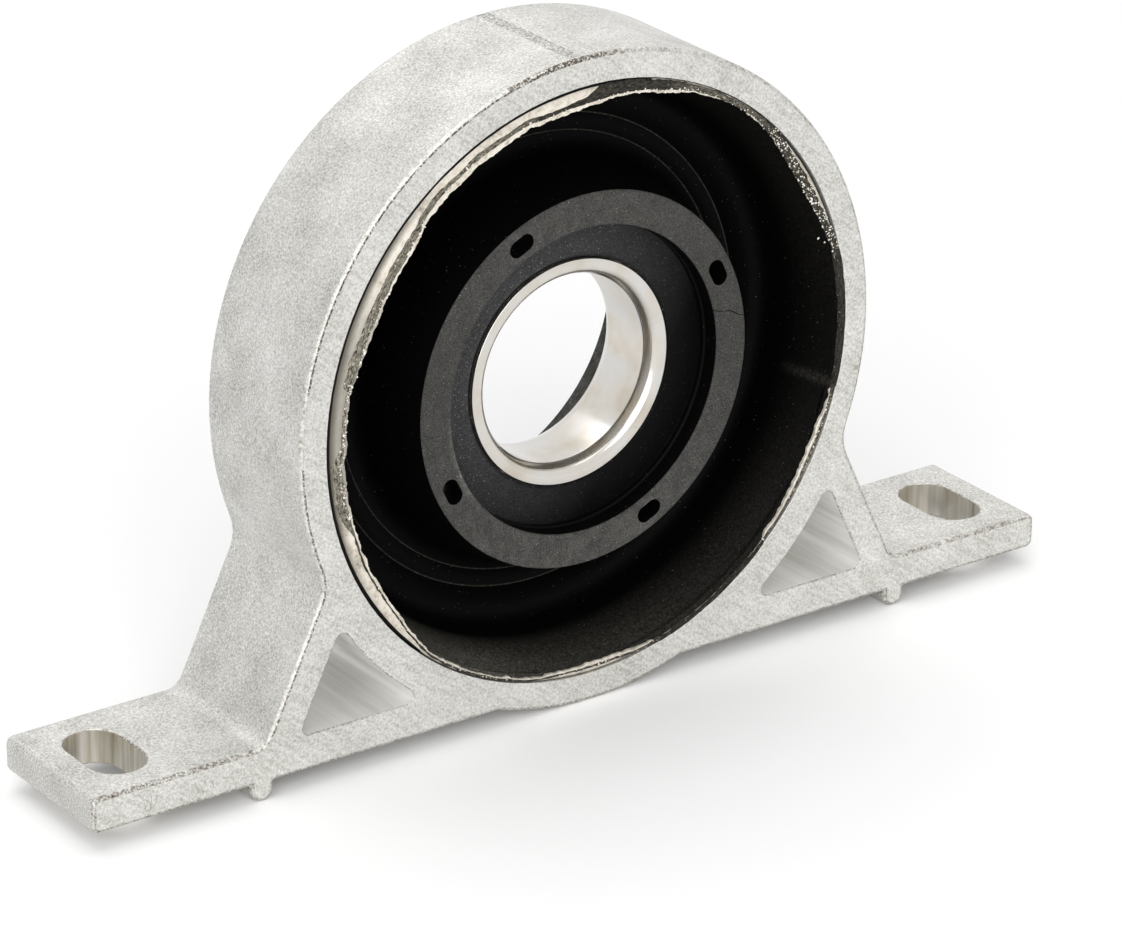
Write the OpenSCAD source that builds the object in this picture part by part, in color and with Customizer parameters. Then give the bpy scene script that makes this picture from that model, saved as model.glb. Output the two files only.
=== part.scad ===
// Driveshaft centre bearing: a sealed ball bearing in a rubber mount, held in a sawn aluminium profile.
// Origin at the centre of the shaft bore. +Y runs along the shaft, away from the front.
// +X runs along the feet and +Z is up.

/* [Housing] */
// Diameter of the bore that takes the sleeve
housing_bore_d = 95; // [91:0.5:97]
// Wall of the ring around that bore
ring_wall = 4.5; // [3.5:0.1:6]
// Length of profile that was sawn off, along the shaft
housing_depth = 25; // [23:0.5:32]
// Height of the shaft's axis above the underside of the feet
axis_height = 49.1; // [47:0.1:51]
// Length over both feet
base_length = 176; // [172:1:200]
// Thickness of the feet and of the base between them
foot_thickness = 5.7; // [4:0.1:7]
// Radius along the top and bottom edges of the feet's ends
foot_end_r = 1.2; // [0.5:0.1:1.8]
// Distance between the outer faces of the legs, at the top of the feet
leg_span = 117.2; // [114:0.2:124]
// Lean of the legs from upright, in degrees
leg_lean = 25.4; // [22:0.2:28]
// Wall of each leg
leg_wall = 5.2; // [4:0.1:6.5]
// Radius where a leg runs into the ring
leg_ring_fillet = 6.5; // [3:0.5:9]
// Radius where a leg runs into its foot
leg_foot_fillet = 3; // [1:0.5:4]
// Metal left between the ring's outer circle and a window
window_margin = 0.9; // [0.4:0.1:2]
// Radius in the corners of a window
window_corner_r = 1.2; // [0.6:0.1:1.6]

/* [Feet] */
// Distance between the centres of the bolt slots
slot_spacing = 157; // [153:0.5:161]
// Width of a bolt slot, along the feet
slot_width = 9; // [7:0.5:10]
// Length of a bolt slot, along the shaft
slot_length = 15.5; // [12:0.5:18]
// Distance between the centres of the two ribs under the feet
rib_spacing = 118.6; // [114:0.2:124]
// Width of a rib
rib_width = 3.9; // [2.5:0.1:5]
// How far a rib reaches below the feet
rib_drop = 2.9; // [2.6:0.1:4]

/* [Sleeve] */
// Wall of the sleeve
sleeve_wall = 1.2; // [0.8:0.1:2]
// How far the sleeve's ends lie inside the housing
sleeve_inset = 0.6; // [0.2:0.1:1.5]

/* [Rubber mount] */
// Rubber around the bearing at the hub's front face
hub_wall = 2.3; // [1.8:0.1:3]
// How far the hub's front face lies inside the housing
hub_inset = 1.9; // [1:0.1:3]
// How far the hub's lips reach in over the bearing's faces
lip_cover = 3.1; // [2.5:0.1:4.5]
// Rubber on the sleeve at the mouth of the trough
liner_t = 1.3; // [0.8:0.1:2]
// Depth of the front trough, from the housing's front face
trough_depth = 16; // [14:0.5:17]
// Rubber around the bearing at the bottom of the trough
hub_root_wall = 4.3; // [3:0.1:6]
// Rubber on the sleeve at the bottom of the trough
liner_root_wall = 2.8; // [2:0.1:5]
// Radius in the bottom corners of the troughs
trough_corner_r = 3; // [1:0.1:3.2]
// Thickness of the web between the front and rear troughs
web_t = 3.5; // [2.5:0.1:4]
// How far the rear collar stands out behind the housing
collar_reach = 10.7; // [8:0.1:14]
// Wall of the rear collar
collar_wall = 3.1; // [2:0.1:4]
// Thickness of the rear lip, between the bearing and the inside of the collar
rear_lip_t = 3; // [2:0.1:3.5]
// Number of oblong openings in the front lip
lip_slot_count = 4; // [3:1:6]
// How far inside the bearing's edge the middles of those openings lie
lip_slot_inset = 0.5; // [0:0.1:1]
// Length of a lip opening, around the hub
lip_slot_length = 4.4; // [4:0.5:7]
// Width of a lip opening, across the lip
lip_slot_width = 2.7; // [2:0.1:3]
// Angle of the first lip opening from +X, in degrees
lip_slot_turn = 26.3; // [0:0.1:90]

/* [Bearing] */
// Diameter of the shaft bore
shaft_d = 30; // [28:0.5:31]
// Outside diameter of the bearing
bearing_d = 55; // [54:0.5:57]
// Width of the bearing
bearing_w = 13; // [12.6:0.1:16]
// Radius on the outer corners of the outer ring
ring_corner_r = 1; // [0.6:0.1:1.2]
// Width of the lead-in bevel at both ends of the shaft bore, across the face
lead_in_w = 0.9; // [0.5:0.1:1.2]
// Length of that lead-in bevel, along the bore
lead_in_l = 2; // [1:0.1:2.5]
// Diameter of a ball, as a multiple of the room between the shaft and the bearing's edge
ball_ratio = 0.57152; // [0.53:0.00001:0.576]
// Number of balls
ball_count = 11; // [8:1:11]
// Play between a ball and each raceway
ball_play = 0.05; // [0.02:0.01:0.1]
// Radius of a raceway's groove, as a multiple of the ball's
race_ratio = 1.04; // [1.02:0.01:1.06]
// Radial gap between the shoulders of the two rings, as a multiple of the same room
shoulder_ratio = 0.352; // [0.32:0.001:0.4]

/* [Seals and cage] */
// Step in each ring's shoulder that makes room for a seal
seal_step = 1.15; // [0.8:0.05:1.4]
// Thickness of a seal at its rim and lip
seal_t = 1.6; // [1.2:0.1:1.7]
// Thickness of a seal between its rim and lip
seal_web_t = 0.9; // [0.6:0.1:1.1]
// Width of a seal's rim and of its lip
seal_rim = 1.4; // [1:0.1:2]
// How far a seal lies behind the bearing's face
seal_inset = 0.3; // [0.1:0.1:0.4]
// Radius of the bead that holds a seal in the outer ring
seal_bead_r = 0.4; // [0.2:0.1:0.5]
// Bevel on a seal's lip, which leaves a dark groove round the inner ring
seal_lip_bevel = 0.6; // [0.3:0.1:1]
// Running gap between a seal's lip and the inner ring
seal_play = 0.08; // [0.05:0.01:0.1]
// Sheet thickness of the cage
cage_t = 0.6; // [0.4:0.1:0.7]
// Gap between the cage and the shoulders of the rings
cage_play = 0.4; // [0.2:0.1:0.7]
// Gap between a ball and its pocket in the cage
pocket_play = 0.15; // [0.1:0.01:0.2]
// Diameter of a cage rivet
rivet_d = 1.2; // [0.8:0.1:1.4]
// Diameter of a rivet's heads
rivet_head_d = 2; // [1.6:0.1:2.4]
// Height of a rivet's heads
rivet_head_h = 0.5; // [0.3:0.1:0.8]

/* [Hidden] */
$fn = 96;
// Overlap that lets a cut run clear of the face it goes through
past = 1;

housing_bore_r = housing_bore_d / 2;
ring_r = housing_bore_r + ring_wall;
front_y = -housing_depth / 2;
under_z = -axis_height;
foot_top_z = under_z + foot_thickness;

// The leg's outer face is a line: its outward normal, its upward direction and its distance from the axis
leg_normal = [cos(leg_lean), sin(leg_lean)];
leg_up = [-sin(leg_lean), cos(leg_lean)];
leg_foot = [leg_span / 2, foot_top_z];
leg_distance = leg_foot * leg_normal;
window_distance = leg_distance - leg_wall;
window_r = ring_r + window_margin;

sleeve_in_r = housing_bore_r - sleeve_wall;
sleeve_front_y = front_y + sleeve_inset;

shaft_r = shaft_d / 2;
bearing_r = bearing_d / 2;
hub_r = bearing_r + hub_wall;
hub_front_y = front_y + hub_inset;
lip_bore_r = bearing_r - lip_cover;
lip_slot_pcd = bearing_d - 2 * lip_slot_inset;
liner_r = sleeve_in_r - liner_t;
web_front_y = front_y + trough_depth;
web_rear_y = web_front_y + web_t;
root_in_r = bearing_r + hub_root_wall;
root_out_r = sleeve_in_r - liner_root_wall;
collar_end_y = housing_depth / 2 + collar_reach;

bearing_front_y = -bearing_w / 2;
// Room between the shaft and the bearing's edge, which the balls and both rings share
bearing_room = bearing_r - shaft_r;
ball_d = ball_ratio * bearing_room;
ball_r = ball_d / 2;
shoulder_gap = shoulder_ratio * bearing_room;
pitch_r = (shaft_r + bearing_r) / 2;
race_r = ball_r * race_ratio;
race_shift = race_r - ball_r - ball_play;
inner_shoulder_r = pitch_r - shoulder_gap / 2;
outer_shoulder_r = pitch_r + shoulder_gap / 2;

seal_land_r = inner_shoulder_r - seal_step;
seal_seat_r = outer_shoulder_r + seal_step;
seal_lip_r = seal_land_r + seal_play;
seal_front_y = bearing_front_y + seal_inset;
seal_back_y = seal_front_y + seal_t;
// Room behind the seal's lip, so that the turning shoulder never rubs it
seal_back_play = 0.2;

cage_in_r = inner_shoulder_r + cage_play;
cage_out_r = outer_shoulder_r - cage_play;
pocket_r = ball_r + pocket_play;
ball_pitch = 360 / ball_count;

BALL_NODES = [for (i = [1:ball_count]) str("ball_", i < 10 ? "0" : "", i)];

// Point at a distance from the leg's direction through the axis and at a radius from it, below the middle
function on_line_and_circle(distance, radius) =
    distance * leg_normal - sqrt(radius * radius - distance * distance) * leg_up;

// X of the point that lies at a height and at a distance from the leg's direction through the axis
function leg_x(distance, z) = (distance - z * leg_normal[1]) / leg_normal[0];

// Centres of the roundings between leg and ring, and between leg and foot
ring_round = on_line_and_circle(leg_distance + leg_ring_fillet, ring_r + leg_ring_fillet);
foot_round_z = foot_top_z + leg_foot_fillet;
foot_round = [leg_x(leg_distance + leg_foot_fillet, foot_round_z), foot_round_z];

// Both sides of the housing are alike
module both_sides() {
    children();
    mirror([1, 0]) children();
}

// Solid metal that rounds a corner: the corner itself, the rounding's centre and the two points where it ends
module corner_fill(corner, centre, first_end, second_end, radius) {
    difference() {
        polygon([corner + (corner - centre) / 2, first_end, centre, second_end]);
        translate(centre) circle(radius);
    }
}

// Triangular opening between the ring, a leg and the base
module window() {
    apex = on_line_and_circle(window_distance, window_r);
    leg_corner = [leg_x(window_distance, foot_top_z), foot_top_z];
    ring_corner = [sqrt(window_r * window_r - foot_top_z * foot_top_z), foot_top_z];

    rounded_r = window_r + window_corner_r;
    rounded_distance = window_distance - window_corner_r;
    rounded_z = foot_top_z + window_corner_r;
    apex_centre = on_line_and_circle(rounded_distance, rounded_r);
    leg_centre = [leg_x(rounded_distance, rounded_z), rounded_z];
    ring_centre = [sqrt(rounded_r * rounded_r - rounded_z * rounded_z), rounded_z];
    to_leg = window_corner_r * leg_normal;
    to_floor = [0, -window_corner_r];
    to_ring = window_r / rounded_r;

    difference() {
        polygon([apex, leg_corner, [0, foot_top_z]]);
        circle(window_r);
        corner_fill(apex, apex_centre, apex_centre * to_ring, apex_centre + to_leg, window_corner_r);
        corner_fill(leg_corner, leg_centre, leg_centre + to_leg, leg_centre + to_floor, window_corner_r);
        corner_fill(ring_corner, ring_centre, ring_centre + to_floor, ring_centre * to_ring, window_corner_r);
    }
}

// Feet and base in one bar, whose ends are rounded
module base_bar() {
    flat_length = base_length - 2 * foot_end_r;
    flat_height = foot_thickness - 2 * foot_end_r;
    translate([-flat_length / 2, under_z]) square([flat_length, foot_thickness]);
    translate([-base_length / 2, under_z + foot_end_r]) square([base_length, flat_height]);
    both_sides() for (z = [under_z + foot_end_r, foot_top_z - foot_end_r]) {
        translate([flat_length / 2, z]) circle(foot_end_r);
    }
}

// Half-round rib under a foot
module rib() {
    rib_r = rib_width / 2;
    translate([rib_spacing / 2, under_z - rib_drop + rib_r]) circle(rib_r);
    translate([rib_spacing / 2 - rib_r, under_z - rib_drop + rib_r]) square([rib_width, rib_drop]);
}

// Half of the legs' outline, out to the chords across the two roundings
module leg() {
    polygon([
        [0, foot_top_z - foot_thickness / 2],
        [foot_round[0], foot_top_z - foot_thickness / 2],
        [foot_round[0], foot_top_z],
        foot_round - leg_foot_fillet * leg_normal,
        ring_round - leg_ring_fillet * leg_normal,
        ring_round * ring_r / (ring_r + leg_ring_fillet),
        [0, 0]
    ]);
}

module housing_profile() {
    difference() {
        union() {
            circle(ring_r);
            base_bar();
            both_sides() {
                leg();
                rib();
            }
        }
        circle(housing_bore_r);
        both_sides() {
            translate(ring_round) circle(leg_ring_fillet);
            translate(foot_round) circle(leg_foot_fillet);
            window();
        }
    }
}

// Hole with two round ends, along Y, through a foot
module bolt_slot() {
    end_shift = (slot_length - slot_width) / 2;
    height = foot_thickness + 2 * past;
    translate([slot_spacing / 2, 0, under_z - past]) {
        for (side = [-1, 1]) translate([0, side * end_shift, 0]) cylinder(h = height, d = slot_width);
        translate([-slot_width / 2, -end_shift, 0]) cube([slot_width, 2 * end_shift, height]);
    }
}

// Bracket sawn from an extruded profile: ring, legs, feet, windows and ribs
module housing() {
    color("#c9cac8") difference() {
        rotate([90, 0, 0]) linear_extrude(height = housing_depth, center = true) housing_profile();
        bolt_slot();
        mirror([1, 0, 0]) bolt_slot();
    }
}

// Turns a section about the shaft's axis: X of the section is the radius, Y is the place along the shaft
module turned() {
    rotate([-90, 0, 0]) rotate_extrude() children();
}

// Rectangle of a section, between two radii and two places along the shaft
module band(r_from, r_to, y_from, y_to) {
    translate([r_from, y_from]) square([r_to - r_from, y_to - y_from]);
}

// Metal sleeve, pressed into the housing's bore
module outer_sleeve() {
    color("#b9b6a6") turned() band(sleeve_in_r, housing_bore_r, sleeve_front_y, -sleeve_front_y);
}

// Rounded bottom of a trough between hub and sleeve, open to the front
module trough_bottom(floor_y) {
    bend_y = floor_y - trough_corner_r;
    band(root_in_r + trough_corner_r, root_out_r - trough_corner_r, bend_y - past / 2, floor_y);
    for (corner_r = [root_in_r + trough_corner_r, root_out_r - trough_corner_r]) {
        translate([corner_r, bend_y]) circle(trough_corner_r);
    }
}

// Space in front of the hub and down to the front of the web
module front_trough() {
    bend_y = web_front_y - trough_corner_r;
    polygon([
        [lip_bore_r - past, hub_front_y],
        [hub_r, hub_front_y],
        [root_in_r, bend_y],
        [root_out_r, bend_y],
        [liner_r, sleeve_front_y],
        [liner_r, sleeve_front_y - past],
        [lip_bore_r - past, sleeve_front_y - past]
    ]);
    trough_bottom(web_front_y);
}

// Space round the rear collar and down to the rear of the web, drawn as if it were at the front
module rear_trough() {
    bend_y = -web_rear_y - trough_corner_r;
    polygon([
        [root_in_r, bend_y],
        [root_out_r, bend_y],
        [liner_r, sleeve_front_y],
        [liner_r, sleeve_front_y - past],
        [root_in_r, sleeve_front_y - past]
    ]);
    trough_bottom(-web_rear_y);
}

// Oblong opening through the front lip, down past the rounded corner of the bearing
module lip_slot() {
    end_shift = (lip_slot_length - lip_slot_width) / 2;
    depth = bearing_front_y + ring_corner_r - hub_front_y + past;
    translate([lip_slot_pcd / 2, hub_front_y - past, 0]) {
        for (side = [-1, 1]) {
            translate([0, 0, side * end_shift]) rotate([-90, 0, 0]) cylinder(h = depth, d = lip_slot_width);
        }
        translate([-lip_slot_width / 2, 0, -end_shift]) cube([lip_slot_width, depth, 2 * end_shift]);
    }
}

// Moulded rubber: a liner bonded to the sleeve, a web, and a hub with two lips and a rear collar
module rubber_mount() {
    rear_lip_y = -bearing_front_y + rear_lip_t;
    color("#1d1e1f") difference() {
        turned() difference() {
            union() {
                band(lip_bore_r, sleeve_in_r, sleeve_front_y, -sleeve_front_y);
                band(lip_bore_r, root_in_r, 0, collar_end_y);
            }
            band(0, bearing_r, bearing_front_y, -bearing_front_y);
            band(0, root_in_r - collar_wall, rear_lip_y, collar_end_y + past);
            front_trough();
            mirror([0, 1]) rear_trough();
        }
        for (i = [0:lip_slot_count - 1]) {
            rotate([0, -lip_slot_turn - i * 360 / lip_slot_count, 0]) lip_slot();
        }
    }
}

// What is cut off a section's corner to round it, for the corner at the left and bottom of its rectangle
module corner_cut(radius) {
    difference() {
        translate([-past, -past]) square(radius + past);
        translate([radius, radius]) circle(radius);
    }
}

// Front and rear of the bearing are alike
module both_faces() {
    children();
    mirror([0, 1]) children();
}

// Ball bearing's outer ring, with its raceway and the seats of both seals
module bearing_outer_ring() {
    color("#b7babd") turned() difference() {
        band(outer_shoulder_r, bearing_r, bearing_front_y, -bearing_front_y);
        translate([pitch_r - race_shift, 0]) circle(race_r);
        both_faces() {
            band(outer_shoulder_r - past, seal_seat_r, bearing_front_y - past, seal_back_y);
            translate([seal_seat_r, (seal_front_y + seal_back_y) / 2]) circle(seal_bead_r);
            translate([bearing_r, bearing_front_y]) mirror([1, 0]) corner_cut(ring_corner_r);
        }
    }
}

// Ball bearing's inner ring, with the shaft bore, its raceway and the lands that the seals' lips run on
module bearing_inner_ring() {
    color("#d5d6d4") turned() difference() {
        band(shaft_r, inner_shoulder_r, bearing_front_y, -bearing_front_y);
        translate([pitch_r + race_shift, 0]) circle(race_r);
        both_faces() {
            band(seal_land_r, inner_shoulder_r + past, bearing_front_y - past, seal_back_y + seal_back_play);
            polygon([
                [shaft_r - past, bearing_front_y - past],
                [shaft_r + lead_in_w, bearing_front_y - past],
                [shaft_r + lead_in_w, bearing_front_y],
                [shaft_r, bearing_front_y + lead_in_l],
                [shaft_r - past, bearing_front_y + lead_in_l]
            ]);
        }
    }
}

// Rubber seal with a thick rim and lip, held by its bead in the outer ring
module seal() {
    color("#18191a") turned() difference() {
        union() {
            band(seal_lip_r, seal_seat_r, seal_front_y, seal_back_y);
            translate([seal_seat_r, (seal_front_y + seal_back_y) / 2]) circle(seal_bead_r);
        }
        band(seal_lip_r + seal_rim, seal_seat_r - seal_rim, seal_front_y + seal_web_t, seal_back_y + past);
        polygon([
            [seal_lip_r - past, seal_front_y - past],
            [seal_lip_r + seal_lip_bevel + past, seal_front_y - past],
            [seal_lip_r - past, seal_front_y + seal_lip_bevel + past]
        ]);
    }
}

module seal_front() {
    seal();
}

module seal_rear() {
    mirror([0, 1, 0]) seal();
}

// Puts a child that lies on +X at the place of one ball, or part of the way to the next
module at_ball(index) {
    rotate([0, -index * ball_pitch, 0]) translate([pitch_r, 0, 0]) children();
}

// Section of the half shell that the cage bulges into round a ball
module pocket_section() {
    intersection() {
        difference() {
            circle(pocket_r + cage_t);
            circle(pocket_r);
        }
        square(pocket_r + cage_t);
    }
}

// Rear half of the pressed cage: flat between the balls, bulged round each ball, with rivet holes
module cage_half() {
    pocket_cut_r = pocket_r + cage_t / 2;
    color("#a9a69b") {
        difference() {
            turned() band(cage_in_r, cage_out_r, 0, cage_t);
            for (i = [0:ball_count - 1]) {
                at_ball(i) rotate([90, 0, 0]) cylinder(h = 4 * cage_t, r = pocket_cut_r, center = true);
                at_ball(i + 0.5) rotate([90, 0, 0]) cylinder(h = 4 * cage_t, d = rivet_d, center = true);
            }
        }
        for (i = [0:ball_count - 1]) intersection() {
            at_ball(i) turned() pocket_section();
            turned() band(cage_in_r, cage_out_r, -past, pocket_r + cage_t + past);
        }
    }
}

module cage_rear() {
    cage_half();
}

module cage_front() {
    mirror([0, 1, 0]) cage_half();
}

// Rivets that join the two halves of the cage
module cage_rivets() {
    head_y = cage_t + rivet_head_h;
    color("#8f8d86") for (i = [0:ball_count - 1]) at_ball(i + 0.5) turned() {
        band(0, rivet_d / 2, -head_y, head_y);
        both_faces() band(0, rivet_head_d / 2, cage_t, head_y);
    }
}

module ball(index) {
    color("#dfe1e3") at_ball(index) sphere(ball_r);
}

housing();
outer_sleeve();
rubber_mount();
bearing_outer_ring();
bearing_inner_ring();
seal_front();
seal_rear();
cage_front();
cage_rear();
cage_rivets();
for (i = [0:ball_count - 1]) ball(i);
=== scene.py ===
import math
import random

import bpy
from mathutils import Matrix, Vector, noise


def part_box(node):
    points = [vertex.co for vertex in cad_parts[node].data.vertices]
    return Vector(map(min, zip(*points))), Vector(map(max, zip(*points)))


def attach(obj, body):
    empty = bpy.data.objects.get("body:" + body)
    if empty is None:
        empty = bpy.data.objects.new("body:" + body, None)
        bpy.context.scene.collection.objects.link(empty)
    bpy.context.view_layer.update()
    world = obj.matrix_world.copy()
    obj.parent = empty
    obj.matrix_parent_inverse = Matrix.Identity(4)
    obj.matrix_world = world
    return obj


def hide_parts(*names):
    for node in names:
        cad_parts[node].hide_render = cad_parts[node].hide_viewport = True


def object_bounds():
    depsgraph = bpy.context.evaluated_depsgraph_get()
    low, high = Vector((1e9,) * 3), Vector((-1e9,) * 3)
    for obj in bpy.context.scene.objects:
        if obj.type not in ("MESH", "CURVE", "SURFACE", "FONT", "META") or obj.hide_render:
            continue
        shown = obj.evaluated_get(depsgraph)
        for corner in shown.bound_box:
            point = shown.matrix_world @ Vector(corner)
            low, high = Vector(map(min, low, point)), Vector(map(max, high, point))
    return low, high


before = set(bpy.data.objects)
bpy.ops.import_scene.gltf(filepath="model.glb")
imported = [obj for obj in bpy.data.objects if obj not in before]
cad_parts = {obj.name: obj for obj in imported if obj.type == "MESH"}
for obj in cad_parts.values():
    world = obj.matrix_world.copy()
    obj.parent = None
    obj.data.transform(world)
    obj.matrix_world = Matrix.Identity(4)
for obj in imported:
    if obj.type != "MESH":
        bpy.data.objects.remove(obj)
cad_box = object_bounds()

# Housing
# A bracket sawn from one extruded aluminium profile: ring, legs, feet and ribs are a single piece.
# After sawing it was tumbled, which left it pale and matt, with soft, slightly nicked edges.
MM = 0.001


def reach(node, axis):
    """How far a CAD node reaches from the origin along an axis, to a tenth of a millimetre."""
    return round(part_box(node)[1]["xyz".index(axis)] / MM, 1)


HOUSING_RING_R = reach("housing", "z")
HOUSING_BORE_R = reach("outer_sleeve", "x")
HOUSING_HALF_DEPTH = reach("housing", "y")
NEAR_RING, NEAR_BORE = 0.5, 0.2    # how far off an edge still belongs to the ring's outside or to the bore
BORE_BAND = 1.5           # band round the bore whose rounded edge keeps the sawn finish
FOOT_TOP_Z = -43.4
FOOT_END_X = 60.0         # a foot lies further out than this
BASE_Z = -49.1
WINDOW_BASE_T = 3.0       # least height of a window's edges over the base
WINDOW_TOP_Z = -26.0
SLOT_X = 78.5
SLOT_BOX_X, SLOT_BOX_Y = 6.0, 10.0    # half sizes of a box that holds a slot's walls
LEG_FOOT_X = 58.6         # outer face of a leg at the top of its foot
LEG_SLOPE = 0.475         # how far a leg leans in for each millimetre up
LEG_WALL_X = 4.0
SHARP_ANGLE = 30          # edges that turn by more than this, in degrees, are rounded
SAWN_EDGE_R = 0.6         # rounding of the sawn outer edges; the others are shares of it
BORE_EDGE_SHARE = 0.15
SPILL_EDGE_SHARE = 0.4
WINDOW_EDGE_SHARE = 0.35
SLOT_EDGE_SHARE = 0.4
SPILLS = ((286, 314), (346, 374))    # angles where rubber spilt over the bore's edge, which is rounder there
SEAM_X, SEAM_W = -3.4, 2.1    # seam on top of the ring, where the profile was joined in its die
SAW_SLANT = 38            # lean of the saw's lines, in degrees
SAW_LINE_MM = 0.6
SAW_LINE_STRETCH = (0.1, 1, 1)
PIT_MM = 0.4
TONE_PLACES = (0.12, 0.34, 0.5, 0.66)    # where an aluminium's four tones lie on its ramp


def copy_of_node(node, name):
    """Copies a CAD node's mesh into a new, selected object, with its loose triangles joined to flat faces."""
    piece = bpy.data.objects.new(name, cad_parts[node].data.copy())
    bpy.context.collection.objects.link(piece)
    bpy.ops.object.select_all(action="DESELECT")
    bpy.context.view_layer.objects.active = piece
    piece.select_set(True)
    if piece.data.has_custom_normals:
        bpy.ops.mesh.customdata_custom_splitnormals_clear()
    bpy.ops.object.mode_set(mode="EDIT")
    bpy.ops.mesh.select_all(action="SELECT")
    bpy.ops.mesh.remove_doubles(threshold=0.0005 * MM)
    bpy.ops.mesh.dissolve_limited(angle_limit=math.radians(0.1))
    bpy.ops.object.mode_set(mode="OBJECT")
    return piece


def apply_modifier(piece, kind, **settings):
    """Adds a modifier to a piece and applies it at once."""
    bpy.ops.object.select_all(action="DESELECT")
    bpy.context.view_layer.objects.active = piece
    piece.select_set(True)
    modifier = piece.modifiers.new(kind.title(), kind)
    for setting, value in settings.items():
        setattr(modifier, setting, value)
    bpy.ops.object.modifier_apply(modifier=modifier.name)


def linear(hex_colour):
    """An sRGB hex colour as linear red, green, blue and alpha."""
    parts = [int(hex_colour[i:i + 2], 16) / 255 for i in (1, 3, 5)]
    return tuple(c / 12.92 if c <= 0.04045 else ((c + 0.055) / 1.055) ** 2.4 for c in parts) + (1.0,)


def add(material, kind, sockets=None, stops=None, **settings):
    """Adds a node: settings are its properties, sockets its values or links, stops a ramp's colours.
    A Mix node's inputs share their names, so they go by number: 2 and 3 are values, 6 and 7 are colours."""
    new = material.node_tree.nodes.new("ShaderNode" + kind)
    for setting, value in settings.items():
        setattr(new, setting, value)
    for socket, value in (sockets or {}).items():
        if isinstance(value, bpy.types.NodeSocket):
            material.node_tree.links.new(value, new.inputs[socket])
        else:
            new.inputs[socket].default_value = value
    if stops:
        ramp = new.color_ramp.elements
        while len(ramp) < len(stops):
            ramp.new(1.0)
        for element, (place, colour) in zip(ramp, stops):
            element.position = place
            element.color = linear(colour) if isinstance(colour, str) else (colour, colour, colour, 1.0)
    return new


def new_material(name, **shader):
    """Starts a material: a principled shader with constants on its own sockets, and Object coordinates."""
    material = bpy.data.materials.new(name)
    material.use_nodes = True
    surface = material.node_tree.nodes["Principled BSDF"]
    for socket, value in shader.items():
        surface.inputs[socket.title()].default_value = value
    place = add(material, "TexCoord").outputs["Object"]
    return material, surface, place


def link(material, output, socket):
    """Links a node's output to a socket that exists already."""
    material.node_tree.links.new(output, socket)


def per_mm(size_mm):
    """Texture scale that gives features of a real size in millimetres."""
    return 1.0 / (size_mm * MM)


def aluminium(name, tones, roughness, grain_mm, grain_depth, cloud_mm=9.0, cloud_share=0.3, metallic=0.8,
              stretch=(1, 1, 1), saw_marks=0.0, pits=None):
    """Matt aluminium: clouds of oxide and a fine speckle of grains through one ramp, with the grains' bump.
    Saw marks are fine slanting lines, and pits are dark spots, as many as the named attribute says; where it
    is below 0 they are pale spots instead, a painted highlight."""
    material, surface, place = new_material(name, metallic=metallic, roughness=roughness)
    along = add(material, "Mapping", {"Vector": place, "Scale": stretch}).outputs["Vector"]
    clouds = add(material, "TexNoise", {"Vector": along, "Scale": per_mm(cloud_mm), "Detail": 5,
                                        "Roughness": 0.6})
    grain = add(material, "TexNoise", {"Vector": along, "Scale": per_mm(grain_mm), "Detail": 2,
                                       "Roughness": 0.6})
    mixed = add(material, "Mix", {"Factor": cloud_share, 2: grain.outputs["Fac"], 3: clouds.outputs["Fac"]})
    value = mixed.outputs[0]
    height = grain.outputs["Fac"]
    if saw_marks:
        slant = add(material, "Mapping", {"Vector": place, "Rotation": (0, math.radians(SAW_SLANT), 0)},
                    vector_type="TEXTURE")
        drawn_out = add(material, "Mapping", {"Vector": slant.outputs["Vector"], "Scale": SAW_LINE_STRETCH})
        lines = add(material, "TexNoise", {"Vector": drawn_out.outputs["Vector"],
                                           "Scale": per_mm(SAW_LINE_MM), "Detail": 2})
        value = add(material, "Mix", {"Factor": saw_marks, 2: value, 3: lines.outputs["Fac"]}).outputs[0]
    if pits:
        share = add(material, "Attribute", attribute_name=pits).outputs["Fac"]
        spots = add(material, "TexNoise", {"Vector": place, "Scale": per_mm(PIT_MM), "Detail": 2,
                                           "Roughness": 0.7})
        depth = add(material, "MapRange", {"Value": spots.outputs["Fac"], "From Min": 0.62, "From Max": 0.4,
                                           "To Min": -0.06, "To Max": 0.4})
        drop = add(material, "Math", {0: share, 1: depth.outputs["Result"]}, operation="MULTIPLY").outputs[0]
        value = add(material, "Math", {0: value, 1: drop}, operation="SUBTRACT").outputs[0]
        height = add(material, "Math", {0: height, 1: drop}, operation="SUBTRACT").outputs[0]
    tone = add(material, "ValToRGB", {"Fac": value}, stops=list(zip(TONE_PLACES, tones)))
    link(material, tone.outputs["Color"], surface.inputs["Base Color"])
    bump = add(material, "Bump", {"Height": height, "Strength": 1.0, "Distance": grain_depth * MM})
    link(material, bump.outputs["Normal"], surface.inputs["Normal"])
    return material


# Tumbled extrusion skin: even, pale and matt, with a fine speckle, drawn coarse enough to show.
# The die's seam shows as a rough strip on top.
tumbled = aluminium("tumbled_aluminium", ("#6b665c", "#9c9b96", "#c3c2be", "#dfdedb"), roughness=0.6,
                    grain_mm=0.32, grain_depth=0.012, pits="wear_and_highlight")
# Sawn and then tumbled, with faint slanting lines from the saw; its tones are painted a little paler than the
# outside's, as painted light on the front and back faces.
sawn = aluminium("sawn_aluminium", ("#7d796f", "#abaaa3", "#d1d0cb", "#e9e8e5"), roughness=0.58,
                 grain_mm=0.36, grain_depth=0.016, saw_marks=0.22)
# Die-drawn walls of the windows: smoother, with streaks along the profile; their tones are painted much paler
# than the outside's, as painted light in the windows' recesses.
drawn = aluminium("die_drawn_aluminium", ("#b5b3ac", "#d7d6d1", "#eae9e6", "#f6f6f3"), roughness=0.42,
                  grain_mm=1.1, grain_depth=0.02, cloud_mm=5.0, cloud_share=0.6, metallic=0.3,
                  stretch=(1, 0.04, 1))
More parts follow.
